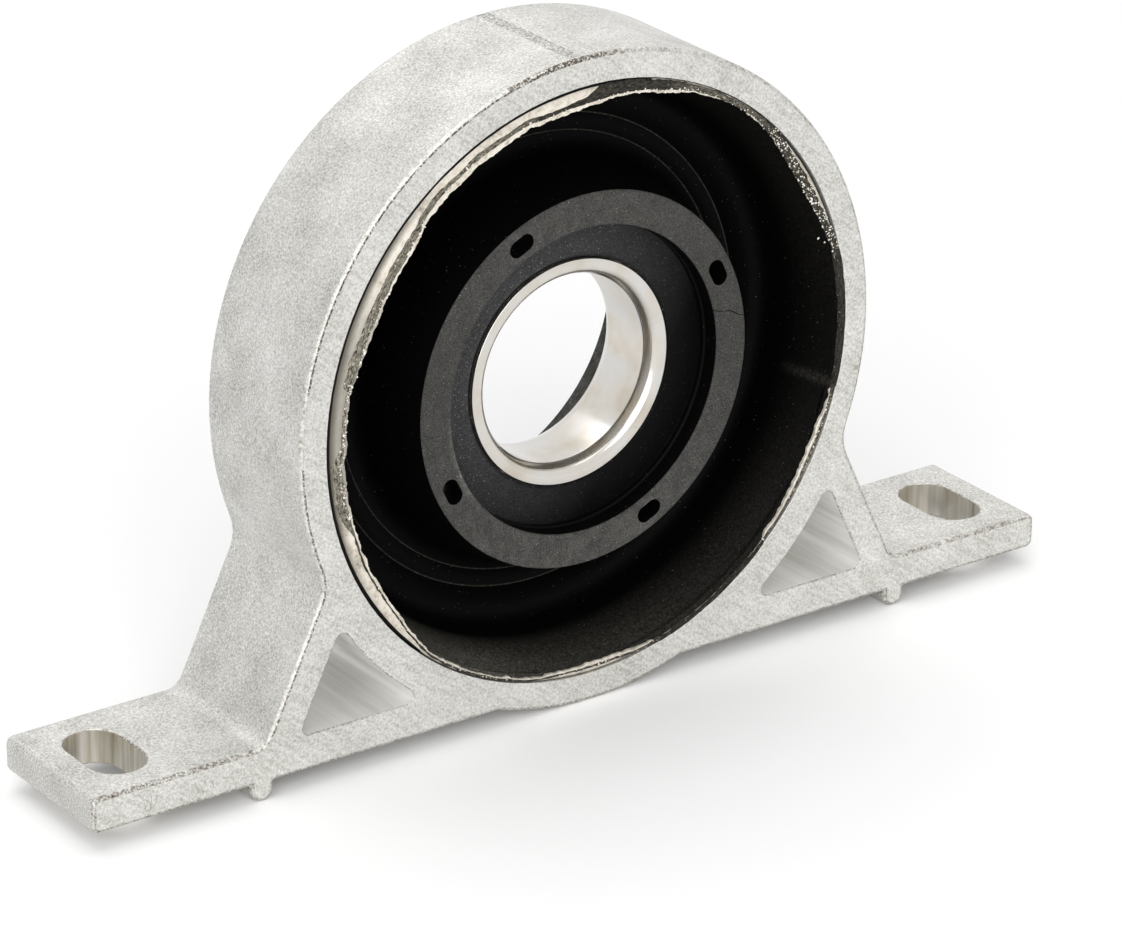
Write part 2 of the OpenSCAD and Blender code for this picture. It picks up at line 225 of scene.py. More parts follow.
# Milled walls of the slots: bright, a little brown from the cutter, and streaked from top to bottom.
milled = aluminium("milled_aluminium", ("#8c8170", "#b0a897", "#d6d1c6", "#f0eee9"), roughness=0.3,
                   grain_mm=1.4, grain_depth=0.02, cloud_mm=5.0, stretch=(1, 1, 0.06))
# Worn edges: nicked, with dirt in the nicks; where the edge's value is below 0 they are painted a little
# brighter as a highlight.
worn = aluminium("nicked_aluminium_edge", ("#595248", "#97938a", "#c9c7c2", "#deddda"), roughness=0.6,
                 grain_mm=0.5, grain_depth=0.12, pits="wear_and_highlight")
TUMBLED, SAWN, DRAWN, MILLED, WORN = range(5)


def window_side(place):
    """Whether a place in millimetres lies on the window's side of a leg, and not on its outer side."""
    leg_face_x = LEG_FOOT_X - (place.z - FOOT_TOP_Z) * LEG_SLOPE
    return abs(place.x) < leg_face_x - LEG_WALL_X


def at_slot(place):
    """Whether a place in millimetres lies by the walls of a foot's slot."""
    return abs(abs(place.x) - SLOT_X) < SLOT_BOX_X and abs(place.y) < SLOT_BOX_Y


def turn_of(place):
    """Angle of a place round the shaft's axis, in degrees from 0 to 360."""
    return math.degrees(math.atan2(place.z, place.x)) % 360


def spilt(place):
    """Whether rubber spilt over the bore's edge at a place."""
    return any(first < turn_of(place) + lap < last for first, last in SPILLS for lap in (0, 360))


housing = copy_of_node("housing", "bracket")
mesh = housing.data
weights = mesh.attributes.new("bevel_weight_edge", "FLOAT", "EDGE")
face_normals = {}
for face in mesh.polygons:
    for key in face.edge_keys:
        face_normals.setdefault(key, []).append(face.normal)
for edge in mesh.edges:
    normals = face_normals[tuple(sorted(edge.vertices))]
    if len(normals) != 2 or normals[0].angle(normals[1]) < math.radians(SHARP_ANGLE):
        continue
    middle = (mesh.vertices[edge.vertices[0]].co + mesh.vertices[edge.vertices[1]].co) / 2 / MM
    radius = math.hypot(middle.x, middle.z)
    window_height = BASE_Z + WINDOW_BASE_T < middle.z < WINDOW_TOP_Z
    if radius < HOUSING_BORE_R + NEAR_BORE:
        share = SPILL_EDGE_SHARE if middle.y < 0 and spilt(middle) else BORE_EDGE_SHARE
    elif radius > HOUSING_RING_R + NEAR_RING and window_height and window_side(middle):
        share = WINDOW_EDGE_SHARE
    elif at_slot(middle):
        share = SLOT_EDGE_SHARE
    else:
        share = 1.0
    weights.data[edge.index].value = share
for material in (tumbled, sawn, drawn, milled, worn):
    housing.data.materials.append(material)
housing.data.materials.pop(index=0)
apply_modifier(housing, "BEVEL", limit_method="WEIGHT", width=SAWN_EDGE_R * MM, segments=3, material=WORN,
               use_clamp_overlap=False)

# Fine nicks in the front of the left foot: middle of each, its length and its lean in degrees
NICKS = (
    (-78.3, -46.6, 2.3, 8), (-77.4, -46.4, 1.5, 14), (-70.6, -46.1, 1.1, -20), (-69.9, -46.5, 1.8, -28),
    (-69.2, -46.0, 0.8, -14), (-67.9, -46.4, 1.5, -24),
)
NICK_W, NICK_DEPTH = 0.1, 0.1
for middle_x, middle_z, length, lean in NICKS:
    bpy.ops.object.select_all(action="DESELECT")
    bpy.ops.mesh.primitive_cube_add(size=MM)
    cutter = bpy.context.object
    cutter.data.transform(Matrix.Diagonal((NICK_W, 2 * NICK_DEPTH, length, 1.0)))
    cutter.data.transform(Matrix.Rotation(math.radians(lean), 4, "Y"))
    cutter.data.transform(Matrix.Translation(Vector((middle_x, -HOUSING_HALF_DEPTH, middle_z)) * MM))
    apply_modifier(housing, "BOOLEAN", object=cutter, operation="DIFFERENCE", solver="EXACT")
    bpy.data.objects.remove(cutter)

# Cuts beside the seam, across the top of the ring, so that its strip has faces of its own
CUT_LOW_Z = 0.9 * HOUSING_RING_R
for cut_x in (SEAM_X - SEAM_W / 2, SEAM_X + SEAM_W / 2):
    bpy.ops.object.mode_set(mode="EDIT")
    bpy.ops.mesh.select_all(action="DESELECT")
    bpy.ops.object.mode_set(mode="OBJECT")
    for face in housing.data.polygons:
        face.select = face.center.z > CUT_LOW_Z * MM and abs(face.normal.z) > 0.5
    bpy.ops.object.mode_set(mode="EDIT")
    bpy.ops.mesh.select_mode(type="FACE")
    bpy.ops.mesh.bisect(plane_co=(cut_x * MM, 0, 0), plane_no=(1, 0, 0))
    bpy.ops.mesh.select_mode(type="VERT")
    bpy.ops.object.mode_set(mode="OBJECT")
bpy.ops.object.shade_smooth_by_angle(angle=math.radians(35))
apply_modifier(housing, "WEIGHTED_NORMAL", keep_sharp=True)

# How far edges are pitted and dirty or, below 0, painted bright as a highlight: most of all on the front of
# the ring, from the top to the upper left, and along the left leg and foot
SEAM_LOW_Z = 0.97 * HOUSING_RING_R
SEAM_WEAR, HIDDEN_WEAR, FOOT_WEAR, PLAIN_WEAR = 0.55, 0.15, 0.6, 0.3
# The two values below 0 paint the edges' outer rows brighter, as a painted highlight beside the dirty front
# row
RING_DIRT, RING_HIGHLIGHT = 1.3, -0.2
LEG_DIRT, LEG_HIGHLIGHT = 0.9, -0.15
DIRT_AND_HIGHLIGHT_TURNS = (106, 168)   # angles between which the ring's edge has a dirty front row and a painted highlight on its other rows
TOP_WEAR, TOP_DIRT, TOP_DIRT_TURN, TOP_DIRT_SPREAD = 0.05, 1.7, 98, 10
FRONT_ROW = -0.85         # faces of a rounded edge whose normals have y below this are its front row


def wear_and_highlight_of(face):
    """How far a face of the housing is pitted and dirty or, below 0, painted bright as a highlight."""
    centre = face.center / MM
    radius = math.hypot(centre.x, centre.z)
    turn = turn_of(centre)
    front_row = face.normal.y < FRONT_ROW
    if face.material_index != WORN:
        on_seam = abs(centre.x - SEAM_X) < SEAM_W / 2 and centre.z > SEAM_LOW_Z
        return SEAM_WEAR if on_seam else 0.0
    if centre.y > 0 or radius < HOUSING_BORE_R + BORE_BAND:
        return HIDDEN_WEAR
    if radius < HOUSING_RING_R + NEAR_RING and centre.z > 0:
        if DIRT_AND_HIGHLIGHT_TURNS[0] < turn < DIRT_AND_HIGHLIGHT_TURNS[1]:
            # Painted highlight: the front row of the ring's edge is dirty, and the rows behind it are painted
            # brighter
            return RING_DIRT if front_row else RING_HIGHLIGHT
        return TOP_WEAR + TOP_DIRT * math.exp(-((turn - TOP_DIRT_TURN) / TOP_DIRT_SPREAD) ** 2)
    if centre.x < -FOOT_END_X and centre.z > FOOT_TOP_Z - 0.7:
        return FOOT_WEAR
    if centre.x < 0 and centre.z > FOOT_TOP_Z + 1:
        # Painted highlight: the front row of the leg's edge is dirty, and the rows behind it are painted
        # brighter
        return LEG_DIRT if front_row else LEG_HIGHLIGHT
    return PLAIN_WEAR


def finish_of(face):
    """Which of the housing's finishes a face has."""
    centre = face.center / MM
    radius = math.hypot(centre.x, centre.z)
    window_height = FOOT_TOP_Z - 0.3 < centre.z < WINDOW_TOP_Z
    if face.material_index == WORN:
        return SAWN if radius < HOUSING_BORE_R + BORE_BAND else WORN
    if at_slot(centre) and abs(face.normal.z) < 0.7:
        return MILLED
    if abs(face.normal.y) > 0.9:
        return SAWN
    if radius > HOUSING_RING_R + NEAR_RING and window_height and window_side(centre):
        return DRAWN
    return TUMBLED


wear_and_highlight = housing.data.attributes.new("wear_and_highlight", "FLOAT", "CORNER")
for face in housing.data.polygons:
    amount = wear_and_highlight_of(face)
    for corner in face.loop_indices:
        wear_and_highlight.data[corner].value = amount
    face.material_index = finish_of(face)
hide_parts("housing")
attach(housing, "mount")

# Outer sleeve
# A thin steel sleeve, pressed into the housing's bore, whose rim is turned in a little to hold the rubber.
# A pale bonding coat is left on the rim wherever the rubber has torn back from it.
SLEEVE_R = HOUSING_BORE_R
SLEEVE_IN_R = reach("rubber_mount", "x")
SLEEVE_HALF = reach("outer_sleeve", "y")
RIM_IN_R = 43.9
RIM_T = 0.5
RIM_Y = -12.2             # front of the rim, almost level with the housing's face
RIM_FLAT = 2.2            # how far in from the sleeve's outside the rim's front begins to fall back
RIM_DROP, RIM_DISH = 0.02, 0.1    # how far back it lies there, and at its inner edge
RIM_WAVY = 0.3            # depth of the rim's front that is a little wavy
RIM_GAP = 0.6             # widest open groove between the rim and the housing's bore
RIM_GAP_DEPTH = 2.4
RIM_GAP_RISE = 0.05
RIM_ROUND = 0.5           # rounding of the rim's outer shoulder
RIM_HOLD = 0.15           # how far outside the rubber's mouth the sleeve's wall keeps
OPEN_GROOVE = 0.25        # a groove wider than this is painted black as shade up to the rim's front
OPEN_SHADE_DEPTH, NARROW_SHADE_DEPTH = 0.12, 0.3
SPIN_STEPS = 720
HAIR = 0.01               # slack of a test on a place, in millimetres

# Kinks of the torn mouth: angle in degrees, radius of the rubber's mouth, radius that its skin reaches on the
# rim, how far the turned-in rim shows inside the mouth, how pale the crumbled skin is, and the rim's groove
TORN_MOUTH = (
    (12, 46.2, 48.1, -0.2, 0.08, 0.06), (15, 46.4, 47.4, 0, 0.16, 0.15), (18, 45.9, 47, 0, 0.16, 0.3),
    (25, 45.3, 46.6, 0, 0.16, 0.3), (32, 44.9, 46.5, 0, 0.16, 0.3), (40, 45.3, 46.8, 0, 0.16, 0.3),
    (45, 45.9, 47.2, 0.1, 0.16, 0.3), (52, 46.5, 47.3, 0.1, 0.3, 0.1), (60, 46.4, 47.2, 0.15, 0.3, 0.1),
    (68, 46.1, 47.2, 0.2, 0.3, 0.12), (74, 45.5, 47.1, 0.5, 0.1, 0.2), (80, 45.4, 47.2, 0.4, 0.1, 0.28),
    (89, 44.6, 47, 0.5, 0.1, 0.46), (92, 44.6, 45.7, 0.6, 0.1, 0.46), (97, 44.5, 45.2, 0.7, 0.1, 0.5),
    (103, 44.6, 45.4, 0.7, 0.1, 0.5), (105, 45, 45.9, 0.6, 0.4, 0.5), (110, 44.9, 45.6, 1, 0.4, 0.53),
    (118, 44.9, 45.9, 1, 0.55, 0.53), (121, 44.9, 45.6, 1, 0.6, 0.53), (128, 44.8, 45.9, 1, 0.55, 0.54),
    (133, 44.4, 45.5, 0.7, 0.5, 0.56), (135, 43.6, 45, 0.5, 0.6, 0.56), (140, 43.2, 44.8, 0.5, 0.6, 0.56),
    (150, 43.1, 44.7, 0.5, 0.6, 0.56), (158, 43.2, 44.9, 0.5, 0.65, 0.56),
    (163, 43.4, 45.4, 0.35, 0.65, 0.56), (167, 43.9, 45.6, 0.3, 0.6, 0.56),
    (168, 44.2, 44.8, 0.4, 0.7, 0.56), (179, 44.1, 44.8, 0.4, 0.7, 0.59), (182, 44.6, 46.4, 0.5, 0.65, 0.59),
    (190, 44.6, 46.6, 0.5, 0.6, 0.59), (194, 44.6, 46, 0.4, 0.5, 0.59), (198, 44.6, 44.9, 0.4, 0.3, 0.59),
    (204, 44.9, 45.2, 0.5, 0.1, 0.59), (212, 44.9, 45.2, 0.5, 0.1, 0.59), (220, 45.3, 45.6, 0.45, 0.1, 0.53),
    (226, 46.1, 46.4, 0.4, 0.1, 0.46), (230, 46.7, 47, 0.3, 0.1, 0.2), (240, 46.9, 47.3, 0.25, 0.15, 0.12),
    (255, 47, 47.4, 0.15, 0.15, 0.1), (258, 46.9, 47.2, 0.3, 0.15, 0.08), (265, 46.4, 46.7, 0.35, 0.2, 0.08),
    (270, 46.4, 46.7, 0.4, 0.2, 0.08), (276, 46.5, 46.9, 0.4, 0.25, 0.08), (283, 46.9, 47.3, 0.3, 0.2, 0.06),
    (287, 46.9, 48.1, -0.2, 0.06, 0.06), (313, 46.9, 48.1, -0.2, 0.06, 0.06),
    (315, 47, 47.4, 0.3, 0.3, 0.06), (322, 47, 47.4, 0.45, 0.3, 0.06), (330, 46.6, 47.1, 0.5, 0.3, 0.06),
    (338, 46.7, 47.1, 0.5, 0.3, 0.06), (344, 46.9, 47.3, 0.3, 0.25, 0.06),
    (347, 46.6, 48.1, -0.2, 0.06, 0.06),
)


def torn(turn):
    """Mouth radius, skin radius, shown rim, paleness and groove at an angle, in even steps between kinks."""
    for start, end in zip(TORN_MOUTH, TORN_MOUTH[1:] + TORN_MOUTH[:1]):
        share = (turn - start[0]) % 360 / ((end[0] - start[0]) % 360)
        if share <= 1:
            break
    return [a + (b - a) * share for a, b in zip(start[1:], end[1:])]


def ragged(place, depth, length, shift=(0, 0, 0)):
    """Noise of a given depth, whose waves have a given length in the place's own unit."""
    return depth * noise.noise(place / length + Vector(shift))


def torn_edges(place):
    """What torn() gives for a place on the rim, with the fine tear added."""
    turn = turn_of(place)
    mouth, edge, shown, pale, groove = torn(turn)
    along_rim = Vector((math.cos(math.radians(turn)), math.sin(math.radians(turn)), 0)) * SLEEVE_IN_R
    mouth += ragged(along_rim, 0.14, 1.1) + ragged(along_rim, 0.1, 4.0)
    edge += ragged(along_rim, 0.18, 0.9, (9, 0, 0)) + ragged(along_rim, 0.12, 3.0)
    shown += ragged(along_rim, 0.22, 0.7, (0, 0, 7)) + ragged(along_rim, 0.2, 2.5) - 0.08
    return mouth, max(edge, mouth + 0.2), shown, pale, groove


def turned_piece(name, section, steps):
    """Draws a closed section of (radius, place along the shaft) points and spins it about that axis."""
    bpy.ops.object.select_all(action="DESELECT")
    bpy.ops.mesh.primitive_plane_add(size=MM)
    piece = bpy.context.object
    piece.name = name
    piece.data.name = name
    corners = [Vector((radius, along, 0)) * MM for radius, along in section]
    bpy.ops.object.mode_set(mode="EDIT")
    bpy.ops.mesh.merge(type="CENTER")
    bpy.ops.transform.translate(value=corners[0])
    for start, end in zip(corners, corners[1:] + corners[:1]):
        bpy.ops.mesh.extrude_vertices_move(TRANSFORM_OT_translate={"value": end - start})
    bpy.ops.mesh.select_all(action="SELECT")
    bpy.ops.mesh.remove_doubles(threshold=0.001 * MM)
    bpy.ops.object.mode_set(mode="OBJECT")
    apply_modifier(piece, "SCREW", axis="Y", steps=steps, render_steps=steps)
    bpy.ops.object.mode_set(mode="EDIT")
    bpy.ops.mesh.select_all(action="SELECT")
    bpy.ops.mesh.remove_doubles(threshold=0.001 * MM)
    bpy.ops.mesh.normals_make_consistent(inside=False)
    bpy.ops.object.mode_set(mode="OBJECT")
    bpy.ops.object.shade_smooth_by_angle(angle=math.radians(40))
    return piece


rim_out_r = SLEEVE_R - RIM_GAP
rim_shoulder = [(rim_out_r - RIM_ROUND * (1 - math.cos(turn)), RIM_Y + RIM_ROUND * (1 - math.sin(turn)))
                for turn in (0.0, 0.4, 0.8, 1.2, math.pi / 2)]
sleeve_section = (
    [(SLEEVE_R, RIM_Y + RIM_GAP_DEPTH), (rim_out_r, RIM_Y + RIM_GAP_DEPTH - RIM_GAP_RISE)] + rim_shoulder
    + [(SLEEVE_R - RIM_FLAT, RIM_Y + RIM_DROP), (RIM_IN_R, RIM_Y + RIM_DISH), (RIM_IN_R, RIM_Y + RIM_T)]
    + [(SLEEVE_IN_R, RIM_Y + RIM_T + RIM_DISH), (SLEEVE_IN_R, SLEEVE_HALF), (SLEEVE_R, SLEEVE_HALF)]
)
sleeve = turned_piece("sleeve", sleeve_section, SPIN_STEPS)
# Black painted shade fills the groove: up to the rim's front where it is open, and only deep down where it is
# narrow
COATED, GROOVE_SHADE = range(2)
for face in sleeve.data.polygons:
    centre = face.center / MM
    radius = math.hypot(centre.x, centre.z)
    *_, groove = torn(turn_of(centre))
    shade_depth = OPEN_SHADE_DEPTH if groove > OPEN_GROOVE else NARROW_SHADE_DEPTH
    in_groove = radius > rim_out_r - RIM_ROUND and shade_depth < centre.y - RIM_Y < RIM_GAP_DEPTH
    face.material_index = GROOVE_SHADE if in_groove else COATED
for vertex in sleeve.data.vertices:
    radius = math.hypot(vertex.co.x, vertex.co.z) / MM
    along = vertex.co.y / MM
    if along > RIM_Y + RIM_GAP_DEPTH - HAIR:
        continue
    mouth, _, shown, _, groove = torn_edges(vertex.co)
    if radius > rim_out_r - RIM_ROUND - HAIR:
        new_radius = radius + RIM_GAP - groove
    elif radius > SLEEVE_IN_R - 0.1:
        new_radius = min(max(SLEEVE_IN_R, mouth + RIM_HOLD), SLEEVE_R - 0.05)
    else:
        share = (radius - RIM_IN_R) / (SLEEVE_IN_R - RIM_IN_R)
        new_radius = max(mouth - shown, (mouth - shown) * (1 - share) + SLEEVE_IN_R * share)
    vertex.co.x *= new_radius / radius
    vertex.co.z *= new_radius / radius
    if along < RIM_Y + RIM_WAVY:
        vertex.co.y += ragged(vertex.co, 0.1 * MM, 6 * MM) + ragged(vertex.co, 0.05 * MM, 1.5 * MM)


def round_shaft(material, place):
    """Angle round the shaft's axis, distance from it and place along it, as outputs of nodes.
    The angle runs from pi on the right, over the top, to 0 on the left and -pi on the right again."""
    part = add(material, "SeparateXYZ", {"Vector": place}).outputs
    left = add(material, "Math", {0: part["X"], 1: -1.0}, operation="MULTIPLY")
    turn = add(material, "Math", {0: part["Z"], 1: left.outputs[0]}, operation="ARCTAN2")
    flat = add(material, "CombineXYZ", {"X": part["X"], "Y": part["Z"]})
    radius = add(material, "VectorMath", {0: flat.outputs["Vector"]}, operation="LENGTH")
    return turn.outputs[0], radius.outputs["Value"], part["Y"]


# Bare steel with a cream bonding coat: dull and pale, with dark scratches, and painted brown shade on the
# rim's rounded shoulder.
SHOULDER_START_R, SHOULDER_FULL_R = 45.6, 46.7
coat, coat_surface, coat_place = new_material("bond_coated_steel", metallic=0.2, roughness=0.5)
scuff = add(coat, "TexNoise", {"Vector": coat_place, "Scale": per_mm(1.6), "Detail": 6, "Roughness": 0.85})
scuff_tone = add(coat, "ValToRGB", {"Fac": scuff.outputs["Fac"]},
                 stops=[(0.3, "#6f675a"), (0.4, "#c6bdad"), (0.52, "#e6dfd2"), (0.7, "#f0ece3")])
coat_turn, coat_radius, _ = round_shaft(coat, coat_place)
shoulder = add(coat, "MapRange", {"Value": coat_radius, "From Min": SHOULDER_START_R * MM,
                                  "From Max": SHOULDER_FULL_R * MM})
# On the left, from about 150 to 192 degrees, the coat is scuffed off and grey metal shows.
coat_lap = add(coat, "MapRange", {"Value": coat_turn, "From Min": -math.pi, "From Max": math.pi})
coat_bare = add(coat, "ValToRGB", {"Fac": coat_lap.outputs["Result"]},
                stops=[(0.455, 0.0), (0.475, 0.85), (0.55, 0.85), (0.6, 0.0)])
coat_grey = add(coat, "Mix", {"Factor": coat_bare.outputs["Color"], 6: scuff_tone.outputs["Color"],
                              7: linear("#918e85")}, data_type="RGBA")
# Its shoulder is painted brown, darkest at its outer edge, as the shade of its rounding, most of all from
# about 135 to 195 degrees.
shaded_turns = add(coat, "ValToRGB", {"Fac": coat_lap.outputs["Result"]},
                 stops=[(0.4, 0.25), (0.46, 0.95), (0.61, 0.95), (0.65, 0.2)])
painted_shoulder_shade = add(coat, "Math", {0: shoulder.outputs["Result"], 1: shaded_turns.outputs["Color"]},
                    operation="MULTIPLY")
coat_shaded = add(coat, "Mix", {"Factor": painted_shoulder_shade.outputs[0], 6: coat_grey.outputs[2],
                               7: linear("#544c40")}, data_type="RGBA")
link(coat, coat_shaded.outputs[2], coat_surface.inputs["Base Color"])
coat_bump = add(coat, "Bump", {"Height": scuff.outputs["Fac"], "Strength": 1.0, "Distance": 0.06 * MM})
link(coat, coat_bump.outputs["Normal"], coat_surface.inputs["Normal"])
# Painted shade in the groove beside the rim: dull and black.
groove_shade, shade_surface, _ = new_material("groove_painted_shade", roughness=0.95)
shade_surface.inputs["Base Color"].default_value = linear("#0b0a08")
sleeve.data.materials.append(coat)
sleeve.data.materials.append(groove_shade)
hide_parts("outer_sleeve")
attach(sleeve, "mount")

# Rubber mount
# Black rubber, moulded and bonded into the sleeve in one shot: a liner, a thin web and a hub with two lips
# that grip the bearing and a collar behind them. Its skin tore from the mould, so its mouth is ragged.
MOUTH_R = 45.0
SKIN_R = 46.8
SKIN_CROWN_RS = (46.2, 45.7)    # radii of the skin's foremost points
SKIN_Y = -12.3
SKIN_FRONT = -12.48       # as far forward as the skin may reach
SKIN_T = 0.3
SKIN_ROOT = 0.75          # how far behind the skin's front the liner meets the sleeve
WALL_STEPS = (0.04, 0.09, 0.15, 0.25, 0.4, 0.6, 0.8)    # shares of the wall's height, closer at the mouth
TROUGH_FLOOR = 3.5
TROUGH_ROUND = 3.0
TROUGH_OUT_R, TROUGH_IN_R = 43.5, 31.8
HUB_R = 29.8
HUB_Y = 10.6
HUB_ROUND = 0.4
HUB_FACE_RS = (28.6, 27.0, 25.6)    # rings of points on the hub's face, which carry its dust
LIP_R = 24.4
LIP_ROUND = 0.35
LIP_BEAD = 0.3            # a small bead on the lip, close to the bearing
LIP_BEAD_START, LIP_BEAD_TOP = -7.6, -7.4
LIP_BEAD_END = 0.25       # how far in front of the bearing the bead ends
BEARING_R = reach("bearing_outer_ring", "x")
BEARING_HALF = reach("bearing_outer_ring", "y")
REAR_FLOOR = 7.0
REAR_LIP_Y = 9.5
REAR_CORNER = 0.2
COLLAR_IN_R = 28.7
COLLAR_END = reach("rubber_mount", "y")
COLLAR_ROUND = 0.4
COLLAR_ROOT = 0.6
MOULD_LINES = (37.7, 34.9)
MOULD_LINE_H = 0.12
MOULD_LINE_HALF_W = 0.15
LIP_SLOTS = 4
LIP_SLOT_LENGTH, LIP_SLOT_WIDTH = 4.4, 2.7
LIP_SLOT_PCD, LIP_SLOT_TURN = 54.0, 26.3
LIP_SLOT_Y, LIP_SLOT_DEPTH = -8.5, 5.5


def arc(centre_r, centre_y, radius, start, end, steps=8):
    """Points of an arc in a section, from one angle in degrees to another."""
    turns = [math.radians(start + (end - start) * i / steps) for i in range(steps + 1)]
    return [(centre_r + radius * math.cos(turn), centre_y + radius * math.sin(turn)) for turn in turns]


def mould_line(radius):
    """A fine ridge on the trough's floor, left by a joint in the mould."""
    return [(radius + MOULD_LINE_HALF_W, TROUGH_FLOOR), (radius, TROUGH_FLOOR - MOULD_LINE_H),
            (radius - MOULD_LINE_HALF_W, TROUGH_FLOOR)]


bend_y = TROUGH_FLOOR - TROUGH_ROUND
rear_bend_y = REAR_FLOOR + TROUGH_ROUND
skin = (
    [(SKIN_R, SKIN_Y + SKIN_T), (SKIN_R, SKIN_Y + 0.1), (SKIN_R - 0.15, SKIN_Y)]
    + [(radius, SKIN_Y - 0.05) for radius in SKIN_CROWN_RS]
    + [(MOUTH_R + 0.3, SKIN_Y), (MOUTH_R + 0.08, SKIN_Y + 0.1), (MOUTH_R, SKIN_Y + SKIN_T)]
)
wall = [(MOUTH_R + (TROUGH_OUT_R - MOUTH_R) * step, SKIN_Y + SKIN_T + (bend_y - SKIN_Y - SKIN_T) * step)
        for step in WALL_STEPS]
floor_points = [point for radius in MOULD_LINES for point in mould_line(radius)]
hub = [(TROUGH_IN_R + (HUB_R - TROUGH_IN_R) * step, bend_y + (-HUB_Y + HUB_ROUND - bend_y) * step)
       for step in (0.33, 0.66)]
section = (
    [(SLEEVE_IN_R, SKIN_Y + SKIN_ROOT)] + skin + wall
    + arc(TROUGH_OUT_R - TROUGH_ROUND, bend_y, TROUGH_ROUND, 0, 90)
    + floor_points
    + arc(TROUGH_IN_R + TROUGH_ROUND, bend_y, TROUGH_ROUND, 90, 180)[1:]
    + hub + arc(HUB_R - HUB_ROUND, -HUB_Y + HUB_ROUND, HUB_ROUND, 0, -90, 4)
    + [(radius, -HUB_Y) for radius in HUB_FACE_RS]
    + arc(LIP_R + LIP_ROUND, -HUB_Y + LIP_ROUND, LIP_ROUND, 270, 180, 4)
    + [(LIP_R, LIP_BEAD_START), (LIP_R - LIP_BEAD, LIP_BEAD_TOP)]
    + [(LIP_R - LIP_BEAD, -BEARING_HALF - LIP_BEAD_END), (LIP_R, -BEARING_HALF)]
    + [(BEARING_R, -BEARING_HALF), (BEARING_R, BEARING_HALF), (LIP_R, BEARING_HALF)]
    + arc(LIP_R + LIP_ROUND, REAR_LIP_Y - LIP_ROUND, LIP_ROUND, 180, 90, 3)
    + [(COLLAR_IN_R - COLLAR_ROOT, REAR_LIP_Y), (COLLAR_IN_R, REAR_LIP_Y + COLLAR_ROOT)]
    + arc(COLLAR_IN_R + COLLAR_ROUND, COLLAR_END - COLLAR_ROUND, COLLAR_ROUND, 180, 90, 4)
    + arc(TROUGH_IN_R - COLLAR_ROUND, COLLAR_END - COLLAR_ROUND, COLLAR_ROUND, 90, 0, 4)
    + [(TROUGH_IN_R, rear_bend_y)]
    + arc(TROUGH_IN_R + TROUGH_ROUND, rear_bend_y, TROUGH_ROUND, 180, 270)[1:]
    + arc(TROUGH_OUT_R - TROUGH_ROUND, rear_bend_y, TROUGH_ROUND, 270, 360)
    + [(MOUTH_R, SLEEVE_HALF - REAR_CORNER), (MOUTH_R + REAR_CORNER, SLEEVE_HALF), (SLEEVE_IN_R, SLEEVE_HALF)]
)
rubber = turned_piece("rubber_mount_moulding", section, SPIN_STEPS)

# Four oblong openings through the front lip
bpy.ops.object.select_all(action="DESELECT")
for i in range(LIP_SLOTS):
    bpy.ops.mesh.primitive_cylinder_add(vertices=48, radius=LIP_SLOT_WIDTH / 2 * MM,
                                        depth=LIP_SLOT_DEPTH * MM)
    cutter = bpy.context.object
    for vertex in cutter.data.vertices:
        vertex.co = Vector((vertex.co.x, vertex.co.z, vertex.co.y))
        vertex.co.z += math.copysign((LIP_SLOT_LENGTH - LIP_SLOT_WIDTH) / 2 * MM, vertex.co.z)
        vertex.co += Vector((LIP_SLOT_PCD / 2, LIP_SLOT_Y, 0)) * MM
    cutter.data.transform(Matrix.Rotation(math.radians(-LIP_SLOT_TURN - 360 / LIP_SLOTS * i), 4, "Y"))
    bpy.ops.object.mode_set(mode="EDIT")
    bpy.ops.mesh.select_all(action="SELECT")
    bpy.ops.mesh.normals_make_consistent(inside=False)
    bpy.ops.object.mode_set(mode="OBJECT")
    apply_modifier(rubber, "BOOLEAN", object=cutter, operation="DIFFERENCE", solver="EXACT")
    bpy.data.objects.remove(cutter)

# A hairline crack across the hub's face, on the right: radius and angle in degrees of its kinks
CRACK = ((24.2, 14.2), (25.6, 12.4), (27.2, 11.2), (28.6, 8.6), (30.2, 7.0))
CRACK_W = 0.14
BLADE_LEAD, BLADE_REACH = 0.4, 1.2    # the blade starts in front of the face and goes through it
crack_points = [Vector((radius * math.cos(math.radians(turn)), -HUB_Y, radius * math.sin(math.radians(turn))))
                for radius, turn in CRACK]
bpy.ops.object.select_all(action="DESELECT")
bpy.ops.mesh.primitive_plane_add(size=MM)
blade = bpy.context.object
bpy.ops.object.mode_set(mode="EDIT")
bpy.ops.mesh.merge(type="CENTER")
bpy.ops.transform.translate(value=(crack_points[0] - Vector((0, BLADE_LEAD, 0))) * MM)
for start, end in zip(crack_points, crack_points[1:]):
    bpy.ops.mesh.extrude_vertices_move(TRANSFORM_OT_translate={"value": (end - start) * MM})
bpy.ops.mesh.select_all(action="SELECT")
bpy.ops.mesh.extrude_region_move(TRANSFORM_OT_translate={"value": (0, BLADE_REACH * MM, 0)})
bpy.ops.object.mode_set(mode="OBJECT")
apply_modifier(blade, "SOLIDIFY", thickness=CRACK_W * MM, offset=0.0)
apply_modifier(rubber, "BOOLEAN", object=blade, operation="DIFFERENCE", solver="EXACT")
bpy.data.objects.remove(blade)

